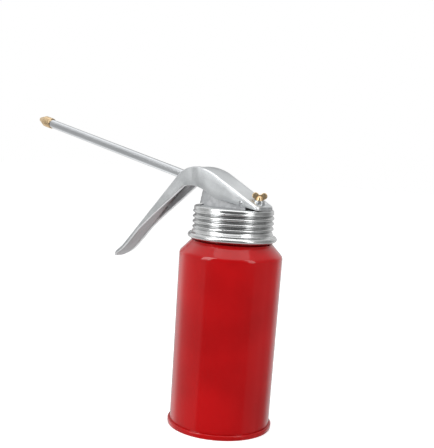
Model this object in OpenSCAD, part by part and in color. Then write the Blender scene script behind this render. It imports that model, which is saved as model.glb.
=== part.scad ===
// Lever pump oil can. Millimetres, +Z up. The origin is the centre of the base rim, on the surface
// the can stands on, and the spout points towards -X. The whole object is symmetric about Y = 0.

/* [Can] */
// Outer diameter of the cylindrical body
body_d = 60; // [59:0.5:62]
// Height from the floor to the crease where the shoulder starts
body_h = 104; // [96:1:110]
// Height of the conical shoulder
shoulder_h = 7; // [6:0.5:9]
// Diameter at the top of the shoulder
shoulder_top_d = 46.6; // [46:0.2:48]
// Thickness of the can's sheet steel
sheet_t = 0.6; // [0.5:0.1:0.8]
// Outer diameter of the double seam round the base
rim_d = 62.8; // [62.4:0.2:64]
// Height of the double seam
rim_h = 3; // [2.5:0.5:4]

/* [Cap ring] */
// Outer diameter over the rolled thread's crests
ring_d = 47; // [46.6:0.2:47.6]
// Height of the ring from its flange to its top lip
ring_h = 19; // [18:0.5:20]
// Outer diameter of the rolled flange at the ring's foot
flange_d = 52; // [51:0.5:54]
// Pitch of the thread
thread_pitch = 3; // [2.8:0.1:3.1]

/* [Spout] */
// Length from the pump head's front face to the nozzle's end
spout_l = 155.5; // [110:0.5:190]
// Rise of the spout above the horizontal, in degrees
spout_rise = 11.55; // [9:0.25:13]
// Outer diameter of the spout tube
spout_d = 5.6; // [5:0.1:5.8]
// Diameter of the brass nozzle
nozzle_d = 7; // [6.6:0.1:8]
// Length of the brass nozzle
nozzle_l = 12; // [11:0.5:15]

/* [Lever] */
// Width across the lever's rear, which straddles the pump head
lever_w = 16; // [16:0.2:17]
// Width across the handle
handle_w = 13.6; // [13.4:0.2:14]
// Thickness of the lever's top web
web_t = 1.6; // [1.4:0.1:1.7]
// Thickness of the lever's cheeks
cheek_t = 1.9; // [1.6:0.1:1.9]
// Angle of the handle below the horizontal, in degrees
handle_drop = 47.5; // [44:0.5:50]
// Distance from the crest of the lever to the end of the handle, along X
handle_reach = 67.5; // [60:0.5:75]

/* [Pump] */
// Outer diameter of the pump barrel
barrel_d = 12; // [12:0.1:12.4]
// Bore of the pump barrel
barrel_bore_d = 10; // [9.6:0.1:10.4]
// Diameter of the plunger rod
rod_d = 5; // [4.6:0.1:5]
// Length of the pump barrel
barrel_l = 30; // [26:1:40]
// Diameter of both valve balls
ball_d = 4; // [3.8:0.1:4.2]

/* [Hidden] */
$fn = 96;

eps = 0.01;
run_gap = 0.05;      // radial clearance of a running or sliding fit
seat_gap = 0.05;     // gap between pieces that are seamed or seated together
can_red = [0.78, 0.03, 0.05];
cast_grey = [0.62, 0.63, 0.64];
bright_steel = [0.80, 0.81, 0.83];
brass = [0.72, 0.53, 0.24];
rubber_black = [0.08, 0.08, 0.09];

// Can and neck
body_r = body_d / 2;
shoulder_z = body_h + shoulder_h;
crease_r = 3;
neck_r = 20.9;
neck_top = shoulder_z + 14.4;
neck_bead_r = 0.9;
neck_thread_r = 0.6;
rim_r = rim_d / 2;
rim_round = 0.6;
base_z = 3;

// Ring, gasket and deck are stacked on the neck
gasket_t = 1.6;
deck_z = neck_top + gasket_t;
deck_t = 2.6;
deck_top = deck_z + deck_t;
lip_t = 0.8;
lip_z = deck_top + 0.1;
ring_top = lip_z + lip_t;
ring_foot = ring_top - ring_h;
ring_bore_r = 21.8;
ring_wall_r = ring_d / 2 - 0.9;
lip_bore_r = 19.6;
rib_r = 0.8;

// Spout axis: it leaves the front face of the head at this point
spout_x = -18.9;
spout_z = deck_top + 11.97;
spout_r = spout_d / 2;
spout_bore_r = 2;
socket_l = 3.2;
nozzle_r = nozzle_d / 2;
nozzle_tip_r = 1.2;
nozzle_cone_l = 5.6;
nozzle_socket_l = 4;
orifice_r = 0.75;

// Pump head
pump_x = -2;
riser_x = -12;
boss_half_w = 5.6;
boss_top = deck_top + 7.3;
nose_r = 3.7;
pivot_x = 10;
pivot_z = deck_top + 4.4;
pin_r = 1.2;
ear_r = 2.3;
pad_x = 17.2;
pad_top = deck_top + 0.9;
rod_r = rod_d / 2;
guide_r = rod_r + run_gap;
gland_r = 4.4;
gland_z = deck_top + 3.9;
packing_t = 1.8;
gland_head_r = 5.2;
gland_head_t = 1.4;

// Barrel, valves and tubes below the head
barrel_r = barrel_d / 2;
bore_r = barrel_bore_d / 2;
barrel_top = deck_z - 2;
barrel_z = barrel_top - barrel_l;
foot_z = barrel_z - 10;
foot_top = barrel_z + 7.5;
foot_r = barrel_r + 1.2;
seat_r = 1.5;
ball_r = ball_d / 2;
ball_drop = sqrt(ball_r * ball_r - seat_r * seat_r);
inlet_seat_z = barrel_z - 3;
port_z = barrel_z + 3.6;
riser_r = 2.5;
riser_bore_r = 1.5;
riser_top = deck_top + 1.4;
riser_z = port_z + 1.2;
cage_top = barrel_z + 2.6;
outlet_spring_top = deck_top + 9.4;
dip_r = 3;
dip_bore_r = 2.2;
dip_z = 8;
dip_top = foot_z + 5;
strainer_r = 4.5;
strainer_z = 5.5;
strainer_h = 9;
piston_top = barrel_top - 2;
piston_t = 5;
seal_t = 3.4;
nut_t = 2.4;
rod_dome_z = pivot_z + 5.8;

// Lever outline, seen from the side: a straight rear web, two arcs over the crest and a straight handle
crest_x = -24.5;
crest_z = deck_top + 22;
rear_arc_r = 35;
front_arc_r = 20;
rear_slope = 26.3;
rear_x = 22;
tip_arc_r = 30;
tip_drop = 33;
step_x = -24.5;
step_l = 2;
tip_x = crest_x - handle_reach;
slot_x = -22;
slot_half_w = 3.8;
lever_half_w = lever_w / 2;
handle_half_w = handle_w / 2;
screw_r = 1.5;
screw_turn = 37;
screw_seat = deck_top + 5.5;
wing_r = 1.9;
wing_x = 2.4;
wing_z = screw_seat + 3.4;

function arc(c, r, a0, a1, n = 12) =
    [for (i = [0:n]) let (a = a0 + (a1 - a0) * i / n) [c[0] + r * cos(a), c[1] + r * sin(a)]];

// Outer line of the lever, moved in by t. It runs from the rear end to the tip.
function rear_end(t) = let (r = rear_arc_r - t, a = 90 - rear_slope, s = [r * cos(a), r * sin(a)])
    [rear_x, crest_z - rear_arc_r + s[1] - (rear_x - crest_x - s[0]) * tan(rear_slope)];
function handle_end() = let (a = 90 + handle_drop, end_x = tip_x + 11.5,
        x = crest_x + front_arc_r * cos(a), z = crest_z - front_arc_r + front_arc_r * sin(a))
    [end_x, z - (x - end_x) * tan(handle_drop)];
function tip_points(t) = let (e = handle_end(), r = tip_arc_r + t,
        c = [e[0] - tip_arc_r * sin(handle_drop), e[1] + tip_arc_r * cos(handle_drop)])
    arc(c, r, handle_drop - 90, tip_drop - 90, 6);
function lever_line(t) = concat(
    [rear_end(t)],
    arc([crest_x, crest_z - rear_arc_r], rear_arc_r - t, 90 - rear_slope, 90),
    arc([crest_x, crest_z - front_arc_r], front_arc_r - t, 90, 90 + handle_drop),
    tip_points(t),
    let (p = tip_points(t)[6]) [[tip_x, p[1] - (p[0] - tip_x) * tan(tip_drop)]]);

// Lower edge of the cheeks, from the rear end to where they run out into the handle
cheek_edge = [[-79, -28.6], [-71, -21.1], [-56.6, -8.9], [-38.9, 5.4], [-33.5, 10], [-29, 11],
    [-23, 10.8], [-18, 9.5], [-13.5, 7.3], [-9.5, 5.6], [-4, 4.7], [21.6, 1.1]];

function helix_point(r, pitch, wire_r, a, b) =
    [(r + wire_r * cos(b)) * cos(a), (r + wire_r * cos(b)) * sin(a), pitch * a / 360 + wire_r * sin(b)];

module rounded(r) {
    offset(r = r, $fn = 24) offset(delta = -r) children();
}

module tube(r, bore, z0, z1, x = 0) {
    translate([x, 0, z0]) difference() {
        cylinder(r = r, h = z1 - z0);
        translate([0, 0, -eps]) cylinder(r = bore, h = z1 - z0 + 2 * eps);
    }
}

// Puts its children, made along +Z, on the spout's axis with z = 0 at the head's front face
module on_spout() {
    translate([spout_x, 0, spout_z]) rotate([0, -90 + spout_rise, 0]) children();
}

module spring(r, wire_r, z0, z1, turns, x) {
    sides = 8;
    per_turn = 14;
    rings = turns * per_turn;
    pitch = (z1 - z0 - 2 * wire_r) / turns;
    pts = [for (i = [0:rings]) for (j = [0:sides - 1])
        helix_point(r, pitch, wire_r, 360 * i / per_turn, 360 * j / sides)];
    walls = [for (i = [0:rings - 1]) for (j = [0:sides - 1]) let (k = (j + 1) % sides)
        [i * sides + j, (i + 1) * sides + j, (i + 1) * sides + k, i * sides + k]];
    start = [[for (j = [0:sides - 1]) j]];
    end = [[for (j = [0:sides - 1]) rings * sides + sides - 1 - j]];
    translate([x, 0, z0 + wire_r]) polyhedron(points = pts, faces = concat(walls, start, end));
}

module can_body() {
    t = sheet_t;
    slope = atan2(shoulder_h, body_r - shoulder_top_d / 2);
    crease = crease_r * tan(slope / 2);
    c = [body_r - crease_r, body_h - crease];
    top_r = shoulder_top_d / 2;
    color(can_red) rotate_extrude() {
        polygon(concat(
            [[body_r - t, seat_gap + t]], [[body_r, seat_gap + t]],
            arc(c, crease_r, 0, slope, 6),
            [[top_r, shoulder_z], [neck_r, shoulder_z], [neck_r, neck_top - neck_bead_r],
             [neck_r - t, neck_top - neck_bead_r], [neck_r - t, shoulder_z - t],
             [top_r - t * tan(slope / 2), shoulder_z - t]],
            arc(c, crease_r - t, slope, 0, 6)));
        translate([neck_r - 0.5, neck_top - neck_bead_r]) circle(r = neck_bead_r, $fn = 32);
        for (i = [1:3]) translate([neck_r, shoulder_z + 1 + i * thread_pitch])
            circle(r = neck_thread_r, $fn = 24);
    }
}

module can_base() {
    t = sheet_t;
    wall_r = body_r - t - seat_gap;
    q = rim_round;
    color(can_red) rotate_extrude() {
        polygon(concat(
            arc([wall_r - t + q, q], q, 180, 270, 4), arc([rim_r - q, q], q, -90, 0, 4),
            arc([rim_r - q, rim_h - q], q, 0, 90, 4),
            [[body_r + seat_gap, rim_h], [body_r + seat_gap, t], [wall_r, t], [wall_r, base_z + t],
             [wall_r - t, base_z + t]]));
        polygon([[0, base_z + 0.8], [6, base_z + 0.8], [6.6, base_z], [8, base_z], [8.6, base_z + 0.8],
            [20, base_z + 0.8], [21, base_z], [wall_r, base_z], [wall_r, base_z + t],
            [21.3, base_z + t], [20.3, base_z + 0.8 + t], [8.3, base_z + 0.8 + t],
            [7.7, base_z + t], [6.9, base_z + t], [6.3, base_z + 0.8 + t], [0, base_z + 0.8 + t]]);
    }
}

module cap_ring() {
    flare_z = ring_foot + 6.2;
    bead = [flange_d / 2 - 1.3, ring_foot + 2.5];
    color(bright_steel) rotate_extrude() {
        polygon([[ring_bore_r, ring_foot], [shoulder_top_d / 2, ring_foot],
            [flange_d / 2 - 0.5, bead[1] - 1], [bead[0] + 0.9, bead[1] + 0.95], [ring_wall_r, flare_z],
            [ring_wall_r, ring_top - 0.9], [ring_wall_r - 0.3, ring_top - 0.3],
            [ring_wall_r - 0.9, ring_top], [lip_bore_r, ring_top], [lip_bore_r, lip_z],
            [ring_bore_r, lip_z]]);
        translate(bead) circle(r = 1.3, $fn = 40);
        for (i = [0:3]) translate([ring_d / 2 - rib_r, ring_top - 2.6 - i * thread_pitch])
            circle(r = rib_r, $fn = 40);
    }
}

module head_gasket() {
    color(rubber_black) tube(neck_r + 0.3, 17.5, neck_top, deck_z);
}

// Everything cut out of the head for the pump, the outlet valve and the spout
module head_bores() {
    spigot_z = deck_z - 8 - eps;
    translate([pump_x, 0, 0]) {
        translate([0, 0, spigot_z]) cylinder(r = barrel_r + seat_gap, h = barrel_top - spigot_z);
        translate([0, 0, deck_z - 3]) cylinder(r = guide_r, h = 20);
        translate([0, 0, gland_z]) cylinder(r = gland_r, h = 20);
    }
    translate([riser_x, 0, 0]) {
        translate([0, 0, spigot_z]) cylinder(r = riser_r + seat_gap, h = riser_top - spigot_z);
        translate([0, 0, deck_z]) cylinder(r = riser_r - 0.1, h = outlet_spring_top - deck_z);
        translate([0, 0, deck_z]) cylinder(r = 1.25, h = spout_z - 1.2 - deck_z);
    }
    on_spout() {
        translate([0, 0, -socket_l]) cylinder(r = spout_r + seat_gap, h = 10);
        translate([0, 0, -8.4]) cylinder(r = 1.5, h = 10);
    }
}

module pump_head() {
    front_x = spout_x - (spout_z - deck_top - 1.3) * tan(spout_rise);
    color(cast_grey) difference() {
        union() {
            translate([0, 0, deck_z]) cylinder(r = neck_r + 0.5, h = deck_t);
            translate([0, 0, deck_z]) cylinder(r = lip_bore_r - 0.4, h = deck_t + 0.5);
            translate([pump_x, 0, deck_z - 8]) cylinder(r = barrel_r + 2.2, h = 8 + eps);
            translate([riser_x, 0, deck_z - 8]) cylinder(r = riser_r + 1.5, h = 8 + eps);
            rotate([90, 0, 0]) linear_extrude(2 * boss_half_w, center = true) polygon([
                [-18.2, deck_z + 1], [-18.2, deck_top + 1.3], [front_x, deck_top + 1.3],
                [spout_x, spout_z], [-8, spout_z - 1], [-8, boss_top], [4, boss_top],
                [8, pivot_z + 1.2], [pivot_x + 1, pivot_z + 1.2], [pivot_x + ear_r - 0.4, pivot_z - 0.6],
                [pivot_x + ear_r - 0.4, deck_z + 1]]);
            translate([pivot_x, boss_half_w, pivot_z]) rotate([90, 0, 0])
                cylinder(r = ear_r, h = 2 * boss_half_w);
            translate([pad_x, 0, deck_z]) cylinder(r = 1.9, h = pad_top - deck_z);
            intersection() {
                on_spout() translate([0, 0, -12]) cylinder(r = nose_r, h = 12.6);
                rotate([90, 0, 0]) linear_extrude(20, center = true) polygon([[-26, 132], [-26, 150],
                    [-16.5, 150], [-16.5, deck_top + 14.6], [-8, deck_top + 12.2], [-8, 132]]);
            }
        }
        head_bores();
        translate([pivot_x, 10, pivot_z]) rotate([90, 0, 0]) cylinder(r = pin_r + run_gap, h = 20);
        translate([2, 13, deck_z - 1]) cylinder(r = 0.6, h = 6);
    }
}

module gland_packing() {
    color(rubber_black) tube(gland_r - seat_gap, guide_r, gland_z, gland_z + packing_t, pump_x);
}

module gland_nut() {
    z = gland_z + packing_t;
    color(brass) difference() {
        union() {
            tube(gland_r - seat_gap, guide_r, z, boss_top, pump_x);
            tube(gland_head_r, guide_r, boss_top, boss_top + gland_head_t, pump_x);
        }
        for (a = [0:60:300]) translate([pump_x, 0, boss_top + 0.4]) rotate(a)
            translate([gland_head_r, 0, 0]) cylinder(r = 0.9, h = 3);
    }
}

module plunger_rod() {
    bottom = piston_top - piston_t - seal_t - nut_t - 0.6;
    color(bright_steel) translate([pump_x, 0, 0]) {
        translate([0, 0, piston_top]) cylinder(r = rod_r, h = rod_dome_z - piston_top);
        translate([0, 0, bottom]) cylinder(r = 1.5, h = piston_top - bottom + eps);
        translate([0, 0, rod_dome_z]) intersection() {
            sphere(r = rod_r);
            translate([0, 0, 1.5]) cube([6, 6, 3.02], center = true);
        }
    }
}

module piston() {
    color(brass) tube(bore_r - run_gap, 1.5, piston_top - piston_t, piston_top, pump_x);
}

module piston_seal() {
    z = piston_top - piston_t - seal_t;
    color(rubber_black) difference() {
        tube(bore_r - run_gap, 1.5, z, z + seal_t, pump_x);
        translate([pump_x, 0, z - eps]) difference() {
            cylinder(r = bore_r - 0.9, h = seal_t - 1.2);
            cylinder(r = 2.8, h = seal_t);
        }
    }
}

module piston_nut() {
    z = piston_top - piston_t - seal_t - nut_t;
    color(brass) translate([pump_x, 0, z]) difference() {
        cylinder(r = 2.7, h = nut_t, $fn = 6);
        translate([0, 0, -eps]) cylinder(r = 1.5, h = nut_t + 1);
    }
}

module pump_barrel() {
    color(bright_steel) difference() {
        tube(barrel_r, bore_r, barrel_z, barrel_top, pump_x);
        translate([pump_x - barrel_r - 1, 0, port_z]) rotate([0, 90, 0]) cylinder(r = 0.8, h = 3);
    }
}

module barrel_foot() {
    color(cast_grey) difference() {
        union() {
            translate([pump_x, 0, foot_z]) cylinder(r = dip_r + 1.6, h = 5);
            translate([pump_x, 0, foot_z + 4]) cylinder(r = foot_r, h = foot_top - foot_z - 4);
            translate([riser_x, 0, barrel_z + 1]) cylinder(r = riser_r + 1.3, h = 7.5);
            translate([riser_x, -2.4, barrel_z + 1]) cube([riser_x * -1 + pump_x - 6, 4.8, 6.5]);
        }
        translate([pump_x, 0, foot_z - eps]) cylinder(r = dip_r + seat_gap, h = 5 + eps);
        translate([pump_x, 0, foot_z]) cylinder(r = seat_r, h = 10);
        translate([pump_x, 0, inlet_seat_z]) cylinder(r = 2.7, h = 4);
        translate([pump_x, 0, barrel_z]) cylinder(r = barrel_r + seat_gap, h = 20);
        translate([riser_x, 0, port_z]) cylinder(r = riser_bore_r, h = 10);
        translate([riser_x, 0, riser_z]) cylinder(r = riser_r + seat_gap, h = 10);
        translate([riser_x, 0, port_z]) rotate([0, 90, 0]) cylinder(r = 0.8, h = 6);
    }
}

module inlet_cage() {
    z = barrel_z;
    color(brass) translate([pump_x, 0, z]) difference() {
        cylinder(r = bore_r - run_gap, h = cage_top - z);
        translate([0, 0, -eps]) cylinder(r = 3.6, h = 1.8);
        for (a = [0:60:300]) rotate(a) translate([2.7, 0, 1]) cylinder(r = 0.7, h = 3);
    }
}

module inlet_ball() {
    color(bright_steel) translate([pump_x, 0, inlet_seat_z + ball_drop + 0.02]) sphere(r = ball_r);
}

module return_spring() {
    bottom = piston_top - piston_t - seal_t;
    color(bright_steel) spring(3.9, 0.45, cage_top + 0.05, bottom - 0.1, 6, pump_x);
}

module riser_tube() {
    color(bright_steel) tube(riser_r, riser_bore_r, riser_z, riser_top, riser_x);
}

module outlet_ball() {
    color(bright_steel) translate([riser_x, 0, riser_top + ball_drop + 0.02]) sphere(r = ball_r);
}

module outlet_spring() {
    ball_top = riser_top + ball_drop + ball_r;
    color(bright_steel) spring(1.7, 0.25, ball_top + 0.1, outlet_spring_top, 4, riser_x);
}

module dip_tube() {
    color(bright_steel) tube(dip_r, dip_bore_r, dip_z, dip_top, pump_x);
}

module strainer() {
    color(brass) difference() {
        translate([pump_x, 0, strainer_z]) cylinder(r = strainer_r, h = strainer_h);
        translate([pump_x, 0, strainer_z + 0.5]) cylinder(r = strainer_r - 0.5, h = strainer_h - 1.5);
        translate([pump_x, 0, strainer_z + 1]) cylinder(r = dip_r + seat_gap, h = strainer_h);
        for (row = [0:2]) for (a = [0:45:315])
            translate([pump_x, 0, strainer_z + 1.8 + 2.1 * row]) rotate([0, 90, a + 22.5 * row])
                cylinder(r = 0.6, h = strainer_r + 1);
        for (a = [0:60:300]) translate([pump_x, 0, strainer_z - 1]) rotate(a)
            translate([2.6, 0, 0]) cylinder(r = 0.6, h = 2);
    }
}

module spout_tube() {
    color(bright_steel) on_spout()
        tube(spout_r, spout_bore_r, -socket_l, spout_l - nozzle_l + nozzle_socket_l);
}

module nozzle() {
    z = spout_l - nozzle_l;
    cone_z = spout_l - nozzle_cone_l;
    socket_r = spout_r + seat_gap;
    color(brass) on_spout() rotate_extrude() polygon([[socket_r, z], [nozzle_r - 0.3, z],
        [nozzle_r, z + 0.3], [nozzle_r, cone_z], [nozzle_tip_r, spout_l], [orifice_r, spout_l],
        [orifice_r, spout_l - 3], [spout_bore_r, cone_z - 0.2], [spout_bore_r, z + nozzle_socket_l],
        [socket_r, z + nozzle_socket_l]]);
}

// Plan of the lever: half widths along X, with a rounded end and rounded rear corners
module lever_plan() {
    rounded(1.2) polygon([[rear_x, -lever_half_w], [rear_x, lever_half_w], [step_x, lever_half_w],
        [step_x - step_l, handle_half_w], [tip_x + handle_half_w, handle_half_w],
        [tip_x + handle_half_w, -handle_half_w], [step_x - step_l, -handle_half_w],
        [step_x, -lever_half_w]]);
    translate([tip_x + handle_half_w, 0]) circle(r = handle_half_w);
}

module cheek_space() {
    a = lever_half_w - cheek_t;
    b = handle_half_w - cheek_t;
    polygon([[rear_x + 9, -a], [rear_x + 9, a], [step_x + 0.6, a], [step_x - step_l + 0.6, b],
        [tip_x - 9, b], [tip_x - 9, -b], [step_x - step_l + 0.6, -b], [step_x + 0.6, -a]]);
}

module spout_slot() {
    rounded(1.5) polygon([[slot_x, -slot_half_w], [slot_x, slot_half_w], [-43, slot_half_w],
        [-43, -slot_half_w]]);
}

module from_side(w) {
    rotate([90, 0, 0]) linear_extrude(w, center = true) children();
}

module lever() {
    outer = lever_line(0);
    inner = lever_line(web_t);
    edge = [for (p = cheek_edge) [p[0], p[1] + deck_top]];
    turn_back = [for (i = [len(inner) - 1:-1:0]) inner[i]];
    color(cast_grey) difference() {
        union() {
            intersection() {
                from_side(lever_w + 2) polygon(concat(outer, turn_back));
                translate([0, 0, 60]) linear_extrude(120) difference() {
                    lever_plan();
                    spout_slot();
                }
            }
            intersection() {
                from_side(lever_w + 2) polygon(concat([for (p = outer) if (p[0] > -80) p], edge));
                translate([0, 0, 60]) linear_extrude(120) difference() {
                    lever_plan();
                    cheek_space();
                }
            }
            intersection() {
                translate([pad_x, 0, pad_top + 1.2]) cylinder(r = 3.2, h = 6);
                from_side(lever_w) polygon(concat(outer, [[-30, 100], [rear_x, 100]]));
            }
        }
        translate([pivot_x, 12, pivot_z]) rotate([90, 0, 0]) cylinder(r = pin_r, h = 24);
        translate([pad_x, 0, 120]) cylinder(r = screw_r + run_gap, h = 30);
        translate([pad_x, 0, screw_seat - 0.1]) cylinder(r = 2.9, h = 9);
    }
}

module lever_pin() {
    color(bright_steel) translate([pivot_x, lever_half_w - 0.1, pivot_z]) rotate([90, 0, 0])
        cylinder(r = pin_r, h = lever_w - 0.2);
}

module wing_screw() {
    tip = pad_top + 0.05;
    color(brass) translate([pad_x, 0, 0]) rotate(screw_turn) {
        translate([0, 0, tip]) cylinder(r = screw_r, h = screw_seat - tip + eps);
        translate([0, 0, screw_seat]) cylinder(r1 = 2.2, r2 = 1.6, h = 2.6);
        from_side(1.2) {
            for (side = [-1, 1]) translate([side * wing_x, wing_z]) circle(r = wing_r);
            polygon([[-1.6, screw_seat + 0.6], [1.6, screw_seat + 0.6], [wing_x + 1.2, wing_z - 1.4],
                [wing_x, wing_z], [0, wing_z - 0.6], [-wing_x, wing_z], [-wing_x - 1.2, wing_z - 1.4]]);
        }
    }
}

can_body();
can_base();
cap_ring();
head_gasket();
pump_head();
gland_packing();
gland_nut();
plunger_rod();
piston();
piston_seal();
piston_nut();
pump_barrel();
barrel_foot();
inlet_cage();
inlet_ball();
return_spring();
riser_tube();
outlet_ball();
outlet_spring();
dip_tube();
strainer();
spout_tube();
nozzle();
lever();
lever_pin();
wing_screw();
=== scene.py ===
import math

import bmesh
import bpy
from mathutils import Matrix, Vector


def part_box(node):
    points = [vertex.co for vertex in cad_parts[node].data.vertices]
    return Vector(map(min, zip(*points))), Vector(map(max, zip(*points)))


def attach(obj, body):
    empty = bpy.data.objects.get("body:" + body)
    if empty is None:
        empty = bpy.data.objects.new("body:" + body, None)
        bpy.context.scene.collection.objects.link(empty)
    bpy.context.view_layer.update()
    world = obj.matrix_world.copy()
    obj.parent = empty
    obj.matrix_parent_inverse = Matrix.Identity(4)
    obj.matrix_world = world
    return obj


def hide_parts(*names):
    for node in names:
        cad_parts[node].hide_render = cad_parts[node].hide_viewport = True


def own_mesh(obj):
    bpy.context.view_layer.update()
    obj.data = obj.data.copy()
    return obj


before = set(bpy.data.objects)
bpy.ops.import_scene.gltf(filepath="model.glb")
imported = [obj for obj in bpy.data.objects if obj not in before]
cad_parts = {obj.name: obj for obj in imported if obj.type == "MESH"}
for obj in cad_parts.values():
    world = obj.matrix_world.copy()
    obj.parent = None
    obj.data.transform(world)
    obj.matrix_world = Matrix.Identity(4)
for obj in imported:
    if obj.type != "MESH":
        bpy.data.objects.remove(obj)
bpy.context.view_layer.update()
mm = 0.001
print("frame loaded:", len(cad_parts), "nodes")


# ---- mesh helpers: sizes in mm, meshes in metres ----

def boxMm(node):
    low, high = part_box(node)
    return Vector(low) / mm, Vector(high) / mm


def smoothShade(obj, sharpAngle=32):
    obj.data.shade_smooth()
    obj.data.set_sharp_from_angle(angle=math.radians(sharpAngle))


def makeObject(name, points, faces, material, sharpAngle=32):
    mesh = bpy.data.meshes.new(name)
    mesh.from_pydata([Vector(p) * mm for p in points], [], faces)
    work = bmesh.new()
    work.from_mesh(mesh)
    bmesh.ops.remove_doubles(work, verts=work.verts, dist=1e-7)
    bmesh.ops.recalc_face_normals(work, faces=work.faces)
    work.to_mesh(mesh)
    work.free()
    obj = bpy.data.objects.new(name, mesh)
    bpy.context.scene.collection.objects.link(obj)
    mesh.materials.append(material)
    smoothShade(obj, sharpAngle)
    return obj


def arcPoints(centre, radius, fromDeg, toDeg, count):
    steps = [fromDeg + (toDeg - fromDeg) * i / count for i in range(count + 1)]
    return [(centre[0] + radius * math.cos(math.radians(a)),
             centre[1] + radius * math.sin(math.radians(a))) for a in steps]


def roundCorners(corners, stepDeg=15):
    # each corner is (a, b) or (a, b, radius); returns the closed outline with its corners rounded
    outline = []
    count = len(corners)
    for i, corner in enumerate(corners):
        here = Vector(corner[:2])
        radius = corner[2] if len(corner) > 2 else 0
        toLast = Vector(corners[i - 1][:2]) - here
        toNext = Vector(corners[(i + 1) % count][:2]) - here
        room = 0.48 * min(toLast.length, toNext.length)
        opening = toLast.angle(toNext)
        if radius <= 0 or opening > math.radians(176):
            outline.append(here)
            continue
        cut = min(radius / math.tan(opening / 2), room)
        radius = cut * math.tan(opening / 2)
        bisector = (toLast.normalized() + toNext.normalized()).normalized()
        middle = here + bisector * radius / math.sin(opening / 2)
        start = here + toLast.normalized() * cut - middle
        end = here + toNext.normalized() * cut - middle
        turn = start.angle(end)
        steps = max(2, round(math.degrees(turn) / stepDeg))
        for k in range(steps + 1):
            t = k / steps
            a = math.sin((1 - t) * turn) / math.sin(turn)
            b = math.sin(t * turn) / math.sin(turn)
            outline.append(middle + start * a + end * b)
    return [(p[0], p[1]) for p in outline]


def denser(outline, longest):
    # splits long edges, so that a turned shape shades and bends smoothly
    out = []
    for i, p in enumerate(outline):
        q = outline[(i + 1) % len(outline)]
        parts = max(1, math.ceil(math.dist(p, q) / longest))
        out += [(p[0] + (q[0] - p[0]) * k / parts, p[1] + (q[1] - p[1]) * k / parts)
                for k in range(parts)]
    return out


def turned(name, outline, material, centre=(0, 0), segments=160, shape=None, sharpAngle=32):
    # turns a closed (radius, height) outline about Z
    # shape(radius, height, angle), where it is given, moves each point
    points, faces = [], []
    rows = len(outline)
    for s in range(segments):
        angle = 2 * math.pi * s / segments
        for r, z in outline:
            if shape:
                r, z = shape(r, z, angle)
            points.append((centre[0] + r * math.cos(angle), centre[1] + r * math.sin(angle), z))
    for s in range(segments):
        n = (s + 1) % segments
        for i in range(rows):
            j = (i + 1) % rows
            if outline[i][0] < 1e-6 and outline[j][0] < 1e-6:
                continue
            faces.append((s * rows + i, n * rows + i, n * rows + j, s * rows + j))
    return makeObject(name, points, faces, material, sharpAngle)


def extruded(name, outline, thickness, material, bevel=0.0):
    # a plate in XZ, centred on Y = 0, with bevelled edges
    count = len(outline)
    points = [(x, y, z) for y in (-thickness / 2, thickness / 2) for x, z in outline]
    faces = [tuple(range(count)), tuple(range(2 * count - 1, count - 1, -1))]
    faces += [(i, i + count, (i + 1) % count + count, (i + 1) % count) for i in range(count)]
    obj = makeObject(name, points, faces, material)
    if bevel:
        work = bmesh.new()
        work.from_mesh(obj.data)
        rim = [edge for edge in work.edges
               if len(edge.link_faces) == 2 and edge.calc_face_angle() > math.radians(50)]
        bmesh.ops.bevel(work, geom=rim, offset=bevel * mm, segments=3, profile=0.5, affect="EDGES")
        work.to_mesh(obj.data)
        work.free()
        smoothShade(obj, 40)
    return obj


def transformed(obj, matrix):
    obj.data.transform(matrix)
    return obj


def combine(obj, others, operation="DIFFERENCE"):
    # applies each boolean to the mesh, and removes the cutter
    for other in others:
        step = obj.modifiers.new("cut", "BOOLEAN")
        step.operation = operation
        step.solver = "EXACT"
        step.object = other
        depsgraph = bpy.context.evaluated_depsgraph_get()
        mesh = bpy.data.meshes.new_from_object(obj.evaluated_get(depsgraph))
        obj.modifiers.clear()
        obj.data = mesh
        bpy.data.objects.remove(other)
    return obj


# ---- shader helpers ----

def newGroup(name, inputs, outputs):
    tree = bpy.data.node_groups.new(name, "ShaderNodeTree")
    for label, kind, value in inputs:
        socket = tree.interface.new_socket(name=label, in_out="INPUT", socket_type=kind)
        socket.default_value = value
    for label, kind in outputs:
        tree.interface.new_socket(name=label, in_out="OUTPUT", socket_type=kind)
    return tree, tree.nodes.new("NodeGroupInput"), tree.nodes.new("NodeGroupOutput")


def link(tree, source, target):
    tree.links.new(source, target)


def mathNode(tree, operation, first, second, clamp=False):
    node = tree.nodes.new("ShaderNodeMath")
    node.operation = operation
    node.use_clamp = clamp
    for i, value in enumerate((first, second)):
        if isinstance(value, (int, float)):
            node.inputs[i].default_value = value
        else:
            link(tree, value, node.inputs[i])
    return node.outputs[0]


def noiseNode(tree, vector, scale, detail=3.0, roughness=0.5):
    node = tree.nodes.new("ShaderNodeTexNoise")
    node.inputs["Detail"].default_value = detail
    node.inputs["Roughness"].default_value = roughness
    if isinstance(scale, (int, float)):
        node.inputs["Scale"].default_value = scale
    else:
        link(tree, scale, node.inputs["Scale"])
    link(tree, vector, node.inputs["Vector"])
    return node.outputs["Fac"]


def rangeNode(tree, value, fromLow, fromHigh, toLow=0.0, toHigh=1.0):
    node = tree.nodes.new("ShaderNodeMapRange")
    node.interpolation_type = "SMOOTHSTEP"
    limits = {"From Min": fromLow, "From Max": fromHigh, "To Min": toLow, "To Max": toHigh}
    for label, number in limits.items():
        node.inputs[label].default_value = number
    link(tree, value, node.inputs["Value"])
    return node.outputs["Result"]


def weightedSum(tree, first, firstShare, second, secondShare):
    return mathNode(tree, "ADD", mathNode(tree, "MULTIPLY", first, firstShare),
                    mathNode(tree, "MULTIPLY", second, secondShare))


def objectCoords(tree):
    return tree.nodes.new("ShaderNodeTexCoord").outputs["Object"]


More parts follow.
